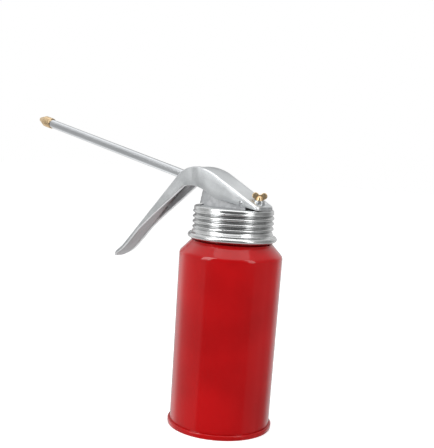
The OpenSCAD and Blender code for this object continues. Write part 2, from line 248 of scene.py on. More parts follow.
def grainGroup():
    # sand-cast or die-cast skin: a fine grain, with broad cloudy tones
    tree, inn, out = newGroup("castGrain", [("Grain Scale", "NodeSocketFloat", 900.0)],
                              [("Height", "NodeSocketFloat"), ("Tone", "NodeSocketFloat")])
    coords = objectCoords(tree)
    fine = noiseNode(tree, coords, inn.outputs["Grain Scale"], 4.0, 0.6)
    broad = noiseNode(tree, coords, 60.0, 3.0, 0.5)
    link(tree, weightedSum(tree, fine, 0.8, broad, 0.4), out.inputs["Height"])
    link(tree, weightedSum(tree, broad, 0.7, fine, 0.3), out.inputs["Tone"])
    return tree


def linesGroup():
    # fine lines left by drawing, turning or polishing, stretched by the three numbers of Stretch
    tree, inn, out = newGroup("drawLines", [("Stretch", "NodeSocketVector", (1.0, 1.0, 1.0)),
                                            ("Line Scale", "NodeSocketFloat", 400.0)],
                              [("Height", "NodeSocketFloat"), ("Tone", "NodeSocketFloat")])
    scaled = tree.nodes.new("ShaderNodeVectorMath")
    scaled.operation = "MULTIPLY"
    link(tree, objectCoords(tree), scaled.inputs[0])
    link(tree, inn.outputs["Stretch"], scaled.inputs[1])
    fine = noiseNode(tree, scaled.outputs[0], inn.outputs["Line Scale"], 3.0, 0.65)
    broad = noiseNode(tree, scaled.outputs[0], 60.0, 2.0, 0.5)
    link(tree, fine, out.inputs["Height"])
    link(tree, weightedSum(tree, fine, 0.55, broad, 0.45), out.inputs["Tone"])
    return tree


def wearGroup():
    # Edge: rubbed convex edges; Hollow: dirt held in concave corners; both broken up by noise
    tree, inn, out = newGroup("edgeWear", [("Spread", "NodeSocketFloat", 260.0)],
                              [("Edge", "NodeSocketFloat"), ("Hollow", "NodeSocketFloat")])
    point = tree.nodes.new("ShaderNodeNewGeometry").outputs["Pointiness"]
    broken = noiseNode(tree, objectCoords(tree), inn.outputs["Spread"], 4.0, 0.6)
    patch = rangeNode(tree, broken, 0.35, 0.62)
    rubbed = rangeNode(tree, point, 0.51, 0.58)
    link(tree, mathNode(tree, "MULTIPLY", rubbed, patch), out.inputs["Edge"])
    held = rangeNode(tree, point, 0.495, 0.44)
    crumbs = rangeNode(tree, broken, 0.25, 0.6)
    link(tree, mathNode(tree, "MULTIPLY", held, crumbs), out.inputs["Hollow"])
    return tree


def filmGroup():
    # stoved enamel: faint orange peel, slow tone changes and a trace of dust
    tree, inn, out = newGroup("paintFilm", [("Peel Scale", "NodeSocketFloat", 420.0)],
                              [("Height", "NodeSocketFloat"), ("Tone", "NodeSocketFloat"),
                               ("Dust", "NodeSocketFloat")])
    coords = objectCoords(tree)
    peel = noiseNode(tree, coords, inn.outputs["Peel Scale"], 1.0, 0.4)
    slow = noiseNode(tree, coords, 22.0, 2.0, 0.5)
    specks = noiseNode(tree, coords, 1500.0, 2.0, 0.7)
    sag = mathNode(tree, "MULTIPLY", slow, 1.6)
    link(tree, mathNode(tree, "ADD", peel, sag), out.inputs["Height"])
    link(tree, slow, out.inputs["Tone"])
    link(tree, rangeNode(tree, specks, 0.66, 0.8), out.inputs["Dust"])
    return tree


effects = {"grain": grainGroup(), "lines": linesGroup(), "wear": wearGroup(), "film": filmGroup()}


def newMaterial(name):
    material = bpy.data.materials.new(name)
    material.use_nodes = True
    tree = material.node_tree
    return material, tree, tree.nodes["Principled BSDF"]


def effectNode(tree, effect, **values):
    node = tree.nodes.new("ShaderNodeGroup")
    node.node_tree = effects[effect]
    for label, value in values.items():
        node.inputs[label.replace("_", " ")].default_value = value
    return node


def mixColours(tree, factor, first, second):
    node = tree.nodes.new("ShaderNodeMix")
    node.data_type = "RGBA"
    link(tree, factor, node.inputs["Factor"])
    for socket, value in ((node.inputs["A"], first), (node.inputs["B"], second)):
        if isinstance(value, tuple):
            socket.default_value = (*value, 1)
        else:
            link(tree, value, socket)
    return node.outputs["Result"]


def bumpNode(tree, shader, height, strength, distance):
    node = tree.nodes.new("ShaderNodeBump")
    node.inputs["Strength"].default_value = strength
    node.inputs["Distance"].default_value = distance
    link(tree, height, node.inputs["Height"])
    link(tree, node.outputs["Normal"], shader.inputs["Normal"])
    return node


toneSpan = (0.3, 0.7)  # the part of a noise's range that carries the tones
paintRelief = 0.0002  # metres of bump at full strength
metalRelief = 0.0001
dirtDullness = 0.2  # roughness added where dirt is held


def paintMaterial(look):
    material, tree, shader = newMaterial("stoved red enamel")
    film = effectNode(tree, "film", Peel_Scale=look["peelScale"])
    wear = effectNode(tree, "wear", Spread=look["wearSpread"])
    tone = rangeNode(tree, film.outputs["Tone"], 0.35, 0.65)
    colour = mixColours(tree, tone, look["dark"], look["light"])
    held = mathNode(tree, "MULTIPLY", wear.outputs["Hollow"], look["dirt"])
    colour = mixColours(tree, held, colour, look["grime"])
    dusty = mathNode(tree, "MULTIPLY", film.outputs["Dust"], look["dustAmount"])
    colour = mixColours(tree, dusty, colour, look["dust"])
    link(tree, colour, shader.inputs["Base Color"])
    rough = rangeNode(tree, film.outputs["Tone"], *toneSpan, *look["gloss"])
    link(tree, rough, shader.inputs["Roughness"])
    shader.inputs["Specular IOR Level"].default_value = look["underGloss"]
    shader.inputs["Coat Weight"].default_value = look["coat"]
    shader.inputs["Coat Roughness"].default_value = look["coatRoughness"]
    shader.inputs["Coat IOR"].default_value = look["coatIor"]
    bumpNode(tree, shader, film.outputs["Height"], look["bump"], paintRelief)
    return material


def metalMaterial(name, look, effect, **values):
    material, tree, shader = newMaterial(name)
    skin = effectNode(tree, effect, **values)
    wear = effectNode(tree, "wear", Spread=look["wearSpread"])
    tone = rangeNode(tree, skin.outputs["Tone"], *toneSpan)
    colour = mixColours(tree, tone, look["dark"], look["light"])
    rubbed = mathNode(tree, "MULTIPLY", wear.outputs["Edge"], look["edge"])
    colour = mixColours(tree, rubbed, colour, look["bright"])
    held = mathNode(tree, "MULTIPLY", wear.outputs["Hollow"], look["dirt"])
    colour = mixColours(tree, held, colour, look["grime"])
    link(tree, colour, shader.inputs["Base Color"])
    rough = rangeNode(tree, skin.outputs["Tone"], *toneSpan, *look["gloss"])
    dull = mathNode(tree, "MULTIPLY", wear.outputs["Hollow"], dirtDullness * look["dirt"])
    rough = mathNode(tree, "ADD", rough, dull, clamp=True)
    link(tree, rough, shader.inputs["Roughness"])
    shader.inputs["Metallic"].default_value = look["metallic"]
    bumpNode(tree, shader, skin.outputs["Height"], look["bump"], metalRelief)
    return material


def rubberMaterial(look):
    material, tree, shader = newMaterial("oil-proof rubber")
    skin = effectNode(tree, "grain", Grain_Scale=look["grainScale"])
    tone = rangeNode(tree, skin.outputs["Tone"], *toneSpan)
    link(tree, mixColours(tree, tone, look["dark"], look["light"]), shader.inputs["Base Color"])
    rough = rangeNode(tree, skin.outputs["Tone"], *toneSpan, *look["gloss"])
    link(tree, rough, shader.inputs["Roughness"])
    bumpNode(tree, shader, skin.outputs["Height"], look["bump"], metalRelief)
    return material


paintLook = {
    "dark": (0.36, 0.0008, 0.0018), "light": (0.46, 0.0016, 0.0030), "grime": (0.12, 0.003, 0.003),
    "dust": (0.50, 0.08, 0.08), "dustAmount": 0.05, "dirt": 0.5, "gloss": (0.30, 0.38),
    "underGloss": 0.05, "coat": 1.0, "coatRoughness": 0.055, "coatIor": 1.4,
    "peelScale": 420.0, "wearSpread": 260.0, "bump": 0.05,
}
ringLook = {
    "dark": (0.58, 0.59, 0.59), "light": (0.78, 0.79, 0.79), "bright": (0.85, 0.85, 0.85),
    "grime": (0.10, 0.10, 0.10), "edge": 0.4, "dirt": 0.85, "gloss": (0.20, 0.30),
    "metallic": 1.0, "wearSpread": 300.0, "bump": 0.08,
}
leverLook = {
    "dark": (0.52, 0.54, 0.55), "light": (0.72, 0.74, 0.75), "bright": (0.92, 0.93, 0.94),
    "grime": (0.16, 0.16, 0.155), "edge": 0.9, "dirt": 0.6, "gloss": (0.30, 0.42),
    "metallic": 0.85, "wearSpread": 320.0, "bump": 0.32,
}
headLook = {
    "dark": (0.33, 0.34, 0.35), "light": (0.46, 0.47, 0.48), "bright": (0.70, 0.71, 0.72),
    "grime": (0.12, 0.12, 0.12), "edge": 0.5, "dirt": 0.7, "gloss": (0.50, 0.62),
    "metallic": 0.7, "wearSpread": 320.0, "bump": 0.40,
}
# the lever's casting again, painted darker: painted shade for the inside of the channel
channelShadeLook = {
    "dark": (0.42, 0.43, 0.44), "light": (0.58, 0.59, 0.60), "bright": (0.60, 0.61, 0.62),
    "grime": (0.08, 0.08, 0.08), "edge": 0.5, "dirt": 0.8, "gloss": (0.56, 0.68),
    "metallic": 0.6, "wearSpread": 320.0, "bump": 0.35,
}
steelLook = {
    "dark": (0.66, 0.68, 0.70), "light": (0.80, 0.82, 0.84), "bright": (0.90, 0.91, 0.92),
    "grime": (0.20, 0.19, 0.18), "edge": 0.5, "dirt": 0.3, "gloss": (0.14, 0.24),
    "metallic": 1.0, "wearSpread": 300.0, "bump": 0.06,
}
brassLook = {
    "dark": (0.62, 0.45, 0.26), "light": (0.85, 0.65, 0.40), "bright": (0.88, 0.76, 0.52),
    "grime": (0.14, 0.09, 0.04), "edge": 0.7, "dirt": 0.7, "gloss": (0.30, 0.42),
    "metallic": 0.9, "wearSpread": 380.0, "bump": 0.10,
}
rubberLook = {
    "dark": (0.018, 0.018, 0.018), "light": (0.035, 0.035, 0.035), "gloss": (0.55, 0.75),
    "grainScale": 1500.0, "bump": 0.3,
}

redPaint = paintMaterial(paintLook)
pressedRing = metalMaterial("pressed aluminium", ringLook, "lines",
                            Stretch=(0.02, 0.02, 1.0), Line_Scale=2600.0)
leverCast = metalMaterial("tumbled die casting", leverLook, "grain", Grain_Scale=1400.0)
# a darker copy of the lever's casting, which paints shade inside the channel
channelShadeCast = metalMaterial("lever casting darkened as painted shade", channelShadeLook, "grain", Grain_Scale=1000.0)
headCast = metalMaterial("raw die casting", headLook, "grain", Grain_Scale=900.0)
drawnSteel = metalMaterial("drawn steel tube", steelLook, "lines",
                           Stretch=(0.03, 1.0, 1.0), Line_Scale=1800.0)
turnedBrass = metalMaterial("turned brass", brassLook, "lines",
                            Stretch=(1.0, 0.1, 0.1), Line_Scale=1500.0)
blackRubber = rubberMaterial(rubberLook)
print("materials made")


# ---- can ----

canShape = {
    "sheet": 0.6, "creaseRadius": 3.0, "neckHeight": 14.4, "shoulderHeight": 7.0,
    "shoulderTopRadius": 23.3, "neckRadius": 20.9, "threadPitch": 3.0, "threadRise": 0.6,
    "seamHeight": 3.0, "seamGap": 0.05, "panelHeight": 3.0, "panelStep": 0.8,
    "panelEdge": 20.2, "beadRadius": 6.9, "segments": 192,
}


def makeCanShell():
    low, high = boxMm("can_body")
    s = canShape
    wall, sheet, neck, shoulder = high.x, s["sheet"], s["neckRadius"], s["shoulderTopRadius"]
    neckTop = high.z
    shoulderTop = neckTop - s["neckHeight"]
    crease = shoulderTop - s["shoulderHeight"]
    threads = []
    for i in (1, 2, 3):
        z = shoulderTop + 1 + s["threadPitch"] * i
        threads += [(neck, z - 0.9, 0.4), (neck + s["threadRise"], z, 0.5), (neck, z + 0.9, 0.4)]
    section = [(wall - sheet, low.z), (wall, low.z), (wall, crease, s["creaseRadius"]),
               (shoulder, shoulderTop, 0.5), (neck, shoulderTop, 0.3), *threads,
               (neck, neckTop - 1.7, 0.3), (neck + 0.35, neckTop - 0.9, 0.4), (neck, neckTop, 0.4),
               (neck - 1.3, neckTop, 0.4), (neck - 1.35, neckTop - 1.0, 0.3),
               (neck - sheet, neckTop - 1.8, 0.2), (neck - sheet, shoulderTop - sheet, 0.2),
               (shoulder - 0.3, shoulderTop - sheet, 0.4), (wall - sheet, crease - 0.2, 1.6)]
    outline = denser(roundCorners(section, 8), 2.5)
    obj = turned("canShell", outline, redPaint, segments=s["segments"], sharpAngle=40)
    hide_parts("can_body")
    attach(obj, "can")


def makeCanBase():
    s = canShape
    rim = boxMm("can_base")[1].x
    wall, sheet, seam = boxMm("can_body")[1].x, s["sheet"], s["seamHeight"]
    inner = wall - sheet - s["seamGap"]
    panel, edge, bead = s["panelHeight"], s["panelEdge"], s["beadRadius"]
    raised = panel + s["panelStep"]
    section = [(inner - sheet, 0.0, 0.45), (rim - 0.1, 0.0, 0.55), (rim, seam, 0.7),
               (wall + s["seamGap"], seam, 0.05), (wall + s["seamGap"], sheet), (inner, sheet),
               (inner, panel + sheet, 0.2),
               (edge + 1.1, panel + sheet, 0.8), (edge, raised + sheet, 0.8),
               (bead + 1.4, raised + sheet, 0.8), (bead + 0.7, panel + sheet, 0.5),
               (bead, panel + sheet, 0.5), (bead - 0.7, raised + sheet, 0.5),
               (0, raised + sheet), (0, raised), (bead - 0.6, raised, 0.5), (bead, panel, 0.5),
               (bead + 0.8, panel, 0.5), (bead + 1.5, raised, 0.6), (edge - 0.2, raised, 0.8),
               (edge + 0.9, panel, 0.8), (inner - sheet, panel, 0.8)]
    outline = denser(roundCorners(section, 12), 2.0)
    obj = turned("canBase", outline, redPaint, segments=s["segments"], sharpAngle=45)
    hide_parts("can_base")
    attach(obj, "can")


# ---- cap ring with its rolled thread ----

ringShape = {
    "crestRadius": 23.0, "bore": 21.8, "lip": 19.6, "wallTop": 0.8,
    "pitch": 3.0, "crest": 0.48, "groove": 0.75, "crestFullness": 0.7, "startTurn": 2.2,
    "threadFrom": 6.6, "threadTo": 17.2, "fadeIn": 1.6, "fadeOut": 1.0, "segments": 240,
}


def makeCapRing():
    low, high = boxMm("cap_ring")
    s = ringShape
    foot, top, flange = low.z, high.z, high.x
    crest, bore, lip = s["crestRadius"], s["bore"], s["lip"]
    underTop = top - s["wallTop"]
    section = [(bore, foot, 0.2), (crest + 0.3, foot, 0.4), (flange - 0.45, foot + 1.2, 0.9),
               (flange - 0.02, foot + 2.4, 0.9), (flange - 0.9, foot + 3.6, 0.6),
               (crest + 0.7, foot + 4.3, 0.8), (crest, foot + 5.6, 0.8), (crest, foot + 8),
               (crest, top - 2.4, 0.3), (crest, top, 1.2), (lip, top, 0.35), (lip, underTop, 0.3),
               (bore, underTop, 0.5)]
    outline = denser(roundCorners(section, 8), 0.24)
    startZ, endZ = foot + s["threadFrom"], foot + s["threadTo"]

    def rolled(r, z, angle):
        if r < crest - 1.3:
            return r, z
        fadeIn = min(1, max(0, (z - startZ + 1.2) / s["fadeIn"]))
        fadeOut = min(1, max(0, (endZ - z) / s["fadeOut"]))
        wave = math.cos(2 * math.pi * (z - foot) / s["pitch"] - angle + s["startTurn"])
        step = s["crest"] * wave ** s["crestFullness"] if wave > 0 else s["groove"] * wave
        return r + fadeIn * fadeOut * step, z

    obj = turned("capRing", outline, pressedRing, segments=s["segments"], shape=rolled,
                 sharpAngle=60)
    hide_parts("cap_ring")
    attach(obj, "ring")


# ---- spout and nozzle ----

spoutShape = {"wall": 0.8, "segments": 96}
nozzleShape = {
    "length": 12.0, "overlap": 4.0, "radius": 3.5, "cone": 5.6, "tipRadius": 1.2, "orifice": 0.75,
    "grooveFrom": 1.5, "grooveWidth": 0.45, "grooveDepth": 0.22,
}


def spoutFrame():
    # the tube's own box gives its slope and its length; the slope is settled by repetition
    low, high = boxMm("spout_tube")
    size, radius = high - low, (high.y - low.y) / 2
    rise = 0.2
    for _ in range(30):
        rise = math.atan2(size.z - 2 * radius * math.cos(rise),
                          size.x - 2 * radius * math.sin(rise))
    length = (size.x - 2 * radius * math.sin(rise)) / math.cos(rise)
    along = Vector((-math.cos(rise), 0, math.sin(rise)))
    root = (low + high) / 2 - along * length / 2
    across = Vector((0, 1, 0))
    matrix = Matrix((across.cross(along), across, along)).transposed().to_4x4()
    return Matrix.Translation(root * mm) @ matrix, length, radius


spoutMatrix, spoutLength, spoutRadius = spoutFrame()
spoutBore = spoutRadius - spoutShape["wall"]


def makeSpout():
    section = [(spoutBore, 0, 0.1), (spoutRadius, 0, 0.2), (spoutRadius, spoutLength, 0.15),
               (spoutBore, spoutLength, 0.15)]
    tube = turned("spoutTube", denser(roundCorners(section, 20), 6), drawnSteel,
                  segments=spoutShape["segments"])
    transformed(tube, spoutMatrix)
    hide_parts("spout_tube")
    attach(tube, "head")


def makeNozzle():
    s = nozzleShape
    radius, tip, orifice = s["radius"], s["tipRadius"], s["orifice"]
    start = spoutLength - s["overlap"]
    end = start + s["length"]
    shoulder = end - s["cone"]
    grooveRadius = radius - s["grooveDepth"]
    grooveStart = start + s["grooveFrom"]
    grooveEnd = grooveStart + 0.25 + s["grooveWidth"]
    section = [(spoutRadius, start, 0.1), (radius - 0.1, start, 0.3), (radius, grooveStart, 0.2),
               (grooveRadius, grooveStart + 0.25, 0.1), (grooveRadius, grooveEnd, 0.1),
               (radius, grooveEnd + 0.25, 0.1), (radius, shoulder, 0.6),
               (tip + 0.2, end - 0.2, 0.4), (tip, end, 0.15), (orifice, end, 0.12),
               (orifice, end - 3, 0.1),
               (spoutBore, shoulder - 0.2, 0.2), (spoutBore, spoutLength, 0.05),
               (spoutRadius, spoutLength, 0.05)]
    nozzle = turned("nozzleTip", denser(roundCorners(section, 12), 1.0), turnedBrass,
                    segments=spoutShape["segments"])
    transformed(nozzle, spoutMatrix)
    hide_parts("nozzle")
    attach(nozzle, "head")


# ---- lever ----

leverShape = {
    "rearX": 22.0, "rearSlope": 26.3, "crestX": -24.5, "rearArc": 35.0, "frontArc": 20.0,
    "drop": 47.5, "tipDrop": 33.0, "tipArc": 30.0, "tipFlare": 11.5, "tipDepth": 1.7,
    "deckBelowCrest": 22.0, "cornerX": -33.6, "cornerHeight": 9.9,
    "web": 1.6, "cheek": 1.9, "edgeRadius": 0.9, "innerRadius": 0.8, "lipRadius": 0.35,
    "rearHalf": 8.0, "rearCorner": 1.5, "handleHalf": 6.8, "stepX": -22.4, "stepLength": 5.0,
    "slotFrom": -22.0, "slotTo": -43.0, "slotHalf": 3.8,
    "bossRadius": 3.2, "bossFoot": 2.1, "bossTop": 5.4, "spotRadius": 3.0,
    "screwHole": 1.56, "pinHole": 1.21,
    # lower edge of the cheeks behind the crest: X, height above the deck
    "cheekEdge": [(-33.5, 10), (-29, 11), (-23, 10.8), (-18, 9.5), (-13.5, 7.3), (-9.5, 5.6),
                  (-4, 4.7), (22.5, 1.05)],
    # the handle's cheeks: distance down from the crest's arc, depth
    "handleDepth": [(0, 8.0), (7.2, 7.04), (29.7, 3.66), (46, 1.75), (200, 1.7)],
    # points of a half section that come before the channel's inside, which takes the darker copy of
    # the casting as painted shade
    "insideFrom": 15,
}


def smoothStep(t):
    t = min(1, max(0, t))
    return t * t * (3 - 2 * t)


def readTable(table, place):
    # the height between a table's points; the last stretch carries on beyond its end
    for (a, heightA), (b, heightB) in zip(table, table[1:]):
        if place <= b or (b, heightB) == table[-1]:
            return heightA + (heightB - heightA) * (place - a) / (b - a)


def softRead(table, place, spread, start=-math.inf):
    # the mean of five readings, so that the line bends smoothly at the table's points
    return sum(readTable(table, max(start, place + spread * k / 2)) for k in (-2, -1, 0, 1, 2)) / 5


def leverStations(tipX, crestZ, deckTop):
    # each station is a point on the outer line, the cheeks' edge that belongs to it, and the tilt
    s = leverShape
    crestX, rearArc, frontArc, tipArc = s["crestX"], s["rearArc"], s["frontArc"], s["tipArc"]
    rearArcZ, frontArcZ = crestZ - rearArc, crestZ - frontArc
    slope, drop, tipDrop = (math.radians(s[key]) for key in ("rearSlope", "drop", "tipDrop"))
    rearCount, crestCount, frontCount, handleCount, tipCount, endCount = 26, 14, 20, 44, 10, 16

    def edgeAt(x):
        return deckTop + softRead(s["cheekEdge"], x, 1.6)

    stations = []
    arcStartX = crestX + rearArc * math.sin(slope)
    arcStartZ = rearArcZ + rearArc * math.cos(slope)
    for i in range(rearCount):
        x = s["rearX"] + (arcStartX - s["rearX"]) * i / rearCount
        outer = (x, arcStartZ - (x - arcStartX) * math.tan(slope))
        stations.append((outer, (x, edgeAt(x)), slope))
    for i in range(crestCount):
        angle = slope * (1 - i / crestCount)
        x = crestX + rearArc * math.sin(angle)
        stations.append(((x, rearArcZ + rearArc * math.cos(angle)), (x, edgeAt(x)), angle))
    cornerZ = deckTop + s["cornerHeight"]
    for i in range(frontCount):
        t = i / frontCount
        angle = drop * t
        outer = (crestX - frontArc * math.sin(angle), frontArcZ + frontArc * math.cos(angle))
        x = crestX + (s["cornerX"] - crestX) * t
        stations.append((outer, (x, edgeAt(max(x, -33.0)) if t < 0.95 else cornerZ), -angle))

    start = Vector((crestX - frontArc * math.sin(drop), frontArcZ + frontArc * math.cos(drop)))
    along = Vector((-math.cos(drop), -math.sin(drop)))
    inward = Vector((math.sin(drop), -math.cos(drop)))
    straight = (start.x - (tipX + s["tipFlare"])) / math.cos(drop)
    for i in range(handleCount):
        distance = straight * i / handleCount
        point = start + along * distance
        lower = point + inward * softRead(s["handleDepth"], distance, 2, start=0)
        stations.append((tuple(point), tuple(lower), -drop))
    centre = start + along * straight - inward * tipArc
    for i in range(tipCount):
        angle = drop + (tipDrop - drop) * i / tipCount
        outward = Vector((math.sin(angle), -math.cos(angle)))
        point = centre + outward * tipArc
        stations.append((tuple(point), tuple(point + outward * s["tipDepth"]), -angle))
    outward = Vector((math.sin(tipDrop), -math.cos(tipDrop)))
    last = centre + outward * tipArc
    direction = Vector((-math.cos(tipDrop), -math.sin(tipDrop)))
    reach = (last.x - tipX) / math.cos(tipDrop)
    for i in range(endCount + 1):
        point = last + direction * reach * math.sin(i / endCount * math.pi / 2)
        stations.append((tuple(point), tuple(point + outward * s["tipDepth"]), -tipDrop))
    return stations


def leverHalfWidth(x, tipX):
    s = leverShape
    step = smoothStep((s["stepX"] - x) / s["stepLength"])
    half = s["rearHalf"] + (s["handleHalf"] - s["rearHalf"]) * step
    tipCentre = tipX + s["handleHalf"]
    if x < tipCentre:
        half = math.sqrt(max(0.01, s["handleHalf"] ** 2 - (tipCentre - x) ** 2))
    corner = s["rearCorner"]
    rearCentre = s["rearX"] - corner
    if x > rearCentre:
        half -= corner - math.sqrt(max(0, corner ** 2 - (x - rearCentre) ** 2))
    return half


def arcLegs(radius, degrees):
    return [(radius * math.sin(math.radians(a)), radius * math.cos(math.radians(a)))
            for a in degrees]


def leverSection(outer, lower, tilt, tipX):
    # the points round one station, from the middle of the outer face and back
    s = leverShape
    top = Vector(outer)
    depthVector = Vector(lower) - top
    depth = depthVector.length
    unit = depthVector / depth
    normal = Vector((-math.sin(tilt), -math.cos(tilt)))
    web = s["web"] / max(0.5, abs(unit.dot(normal)))
    depth = max(depth, web + 0.05)
    edge = min(s["edgeRadius"], web * 0.85)
    inner = min(s["innerRadius"], (depth - web) * 0.8)
    lip = min(s["lipRadius"], (depth - web) * 0.45)
    cheek = s["cheek"]
    quarter = (0, 45, 90)

    # each entry is (distance in from the side, or None), (share of the half width, or None), depth
    half = [(None, 0.0, 0.0), (None, 0.5, 0.0)]
    half += [(edge - a, None, edge - b) for a, b in arcLegs(edge, (0, 22, 45, 68, 90))]
    half += [(0.0, None, edge + (depth - lip - edge) * k / 3) for k in (1, 2)]
    half += [(lip - b, None, depth - lip + a) for a, b in arcLegs(lip, quarter)]
    half += [(cheek - lip + a, None, depth - lip + b) for a, b in arcLegs(lip, quarter)]
    half += [(cheek, None, web + inner + (depth - lip - web - inner) * k / 3) for k in (2, 1)]
    half += [(cheek + inner - b, None, web + inner - a) for a, b in arcLegs(inner, quarter)]
    half += [(None, 0.5, web), (None, 0.0, web)]
    points = []
    for inset, share, down in half:
        place = top + unit * down
        width = leverHalfWidth(min(place.x, s["rearX"]), tipX)
        y = width * share if inset is None else max(width - inset, 0.05 * width)
        points.append((place.x, y, place.y))
    return points + [(x, -y, z) for x, y, z in points[::-1][1:-1]]


def cutterRod(name, radius, low, high, centreX=0, segments=48):
    section = [(0, low), (radius, low), (radius, high), (0, high)]
    return turned(name, section, leverCast, centre=(centreX, 0), segments=segments)


def slotCutter(deckTop):
    s = leverShape
    near, far, half = s["slotFrom"], s["slotTo"], s["slotHalf"]
    outline = roundCorners([(near, -half, 1.6), (near, half, 1.6), (far, half, 3), (far, -half, 3)])
    n = len(outline)
    points = [(x, y, deckTop + z) for z in (4, 30) for x, y in outline]
    faces = [tuple(range(n))[::-1], tuple(range(n, 2 * n))]
    faces += [(i, (i + 1) % n, (i + 1) % n + n, i + n) for i in range(n)]
    return makeObject("slot", points, faces, leverCast)


def makeLever():
    low, high = boxMm("lever")
    s = leverShape
    tipX, crestZ = low.x, high.z
    deckTop = crestZ - s["deckBelowCrest"]
    points, rings = [], []
    for outer, lower, tilt in leverStations(tipX, crestZ, deckTop):
        section = leverSection(outer, lower, tilt, tipX)
        rings.append(range(len(points), len(points) + len(section)))
        points += section
    n = len(rings[0])
    faces = [(first[i], first[(i + 1) % n], second[(i + 1) % n], second[i])
             for first, second in zip(rings, rings[1:]) for i in range(n)]
    faces += [tuple(rings[0]), tuple(reversed(rings[-1]))]
    obj = makeObject("squeezeLever", points, faces, leverCast, 50)
    # the channel's inside faces take the darker copy of the casting, which paints the shade there
    obj.data.materials.append(channelShadeCast)
    inside = range(s["insideFrom"], n - s["insideFrom"])
    for k, polygon in enumerate(obj.data.polygons):
        if k < n * (len(rings) - 1) and k % n in inside:
            polygon.material_index = 1

    screwLow, screwHigh = boxMm("wing_screw")
    screwX = (screwLow.x + screwHigh.x) / 2
    foot, top, radius = deckTop + s["bossFoot"], deckTop + s["bossTop"], s["bossRadius"]
    bossSection = [(0, foot), (radius, foot, 0.4), (radius, top + 1.0), (0, top + 1.0)]
    boss = turned("boss", roundCorners(bossSection, 20), leverCast, centre=(screwX, 0), segments=48)
    combine(obj, [boss], "UNION")
    spot = cutterRod("spot", s["spotRadius"], top, top + 9, screwX, 64)
    hole = cutterRod("hole", s["screwHole"], deckTop - 5, deckTop + 20, screwX)
    pivot = cutterRod("pivot", s["pinHole"], -14, 14)
    pinLow, pinHigh = boxMm("lever_pin")
    pinMiddle = (pinLow + pinHigh) / 2 * mm
    transformed(pivot, Matrix.Translation(pinMiddle) @ Matrix.Rotation(math.pi / 2, 4, "X"))
    combine(obj, [spot, hole, pivot, slotCutter(deckTop)])
    smoothShade(obj, 40)
    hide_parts("lever")
    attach(obj, "lever")


def makeLeverPin():
    low, high = boxMm("lever_pin")
    radius, length = (high.z - low.z) / 2, high.y - low.y
    half = length / 2
    section = [(0, -half), (radius, -half, 0.3), (radius, half, 0.3), (0, half)]
    pin = turned("leverPin", roundCorners(section, 15), drawnSteel, segments=48)
    middle = (low + high) / 2 * mm
    transformed(pin, Matrix.Translation(middle) @ Matrix.Rotation(math.pi / 2, 4, "X"))
    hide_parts("lever_pin")
    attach(pin, "lever")


# ---- wing screw ----

screwShape = {
    "turn": 37.0, "shank": 1.5, "threadPitch": 0.5, "threadDepth": 0.25, "headBelowTop": 5.3,
    "wingX": 2.4, "wingRadius": 1.9, "thickness": 1.2, "bevel": 0.35,
}


def makeWingScrew():
    low, high = boxMm("wing_screw")
    s = screwShape
    x = (low.x + high.x) / 2
    top, shank = high.z, s["shank"]
    seat = top - s["headBelowTop"]
    threads = []
    z = low.z + 0.3
    while z < seat - 0.8:
        threads += [(shank - s["threadDepth"], z), (shank, z + s["threadPitch"] / 2)]
        z += s["threadPitch"]
    section = [(0, low.z), (shank - 0.4, low.z), *threads, (shank, seat, 0.0),
               (2.2, seat + 0.05, 0.15), (2.15, seat + 0.7, 0.3), (1.65, seat + 2.6, 0.5),
               (1.0, seat + 3.4, 0.4), (0, seat + 3.5)]
    hub = turned("wingScrew", roundCorners(section, 20), turnedBrass, segments=64)
    wingZ = top - s["wingRadius"]
    left = arcPoints((-s["wingX"], wingZ), s["wingRadius"], 40, 250, 18)
    right = arcPoints((s["wingX"], wingZ), s["wingRadius"], -70, 140, 18)
    outline = (left + [(-1.5, seat + 0.9), (1.5, seat + 0.9)]
               + right + [(0.5, wingZ + 0.75), (-0.5, wingZ + 0.75)])
    wings = extruded("wings", outline, s["thickness"], turnedBrass, bevel=s["bevel"])
    combine(hub, [wings], "UNION")
    smoothShade(hub, 40)
    turn = Matrix.Rotation(math.radians(s["turn"]), 4, "Z")
    transformed(hub, Matrix.Translation((x * mm, 0, 0)) @ turn)
    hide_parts("wing_screw")
    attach(hub, "wing_screw")


# ---- coil springs ----

springShapes = {
    "return_spring": {"name": "returnSpring", "wire": 0.45, "turns": 7,
                      "joint": "plunger_slide", "fixedEnd": "low"},
    "outlet_spring": {"name": "outletSpring", "wire": 0.25, "turns": 5,
                      "joint": "outlet_ball_lift", "fixedEnd": "high"},
}


def makeSpring(node):
    # a coil whose first and last turns lie flat
    low, high = boxMm(node)
    s = springShapes[node]
    wire, turns = s["wire"], s["turns"]
    coilRadius = (high.y - low.y) / 2 - wire
    centreX = (high.x + low.x) / 2
    height = high.z - low.z - 2 * wire
    sides, perTurn = 12, 36
    rows = turns * perTurn
    points, faces = [], []
    for row in range(rows + 1):
        turn = row / perTurn
        middle = (turn - 1) / (turns - 2) * (height - 4 * wire) + 2 * wire
        rise = min(max(middle, 2 * wire * min(turn, 1)), height - 2 * wire * min(turns - turn, 1))
        angle = 2 * math.pi * turn
        for side in range(sides):
            around = 2 * math.pi * side / sides
            r = coilRadius + wire * math.cos(around)
            z = low.z + wire + rise + wire * math.sin(around)
            points.append((centreX + r * math.cos(angle), r * math.sin(angle), z))
    for row in range(rows):
        for side in range(sides):
            here, up = row * sides + side, row * sides + (side + 1) % sides
            faces.append((here, here + sides, up + sides, up))
    faces += [tuple(range(sides)), tuple(range(rows * sides + sides - 1, rows * sides - 1, -1))]
    spring = makeObject(s["name"], points, faces, drawnSteel, 50)
    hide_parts(node)
    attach(spring, "head")
    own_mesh(spring)


makeCanShell()
makeCanBase()
makeCapRing()
makeSpout()
makeNozzle()
makeLever()
makeLeverPin()
makeWingScrew()
for node in springShapes:
    makeSpring(node)
print("pieces made")


# ---- CAD nodes that stay ----

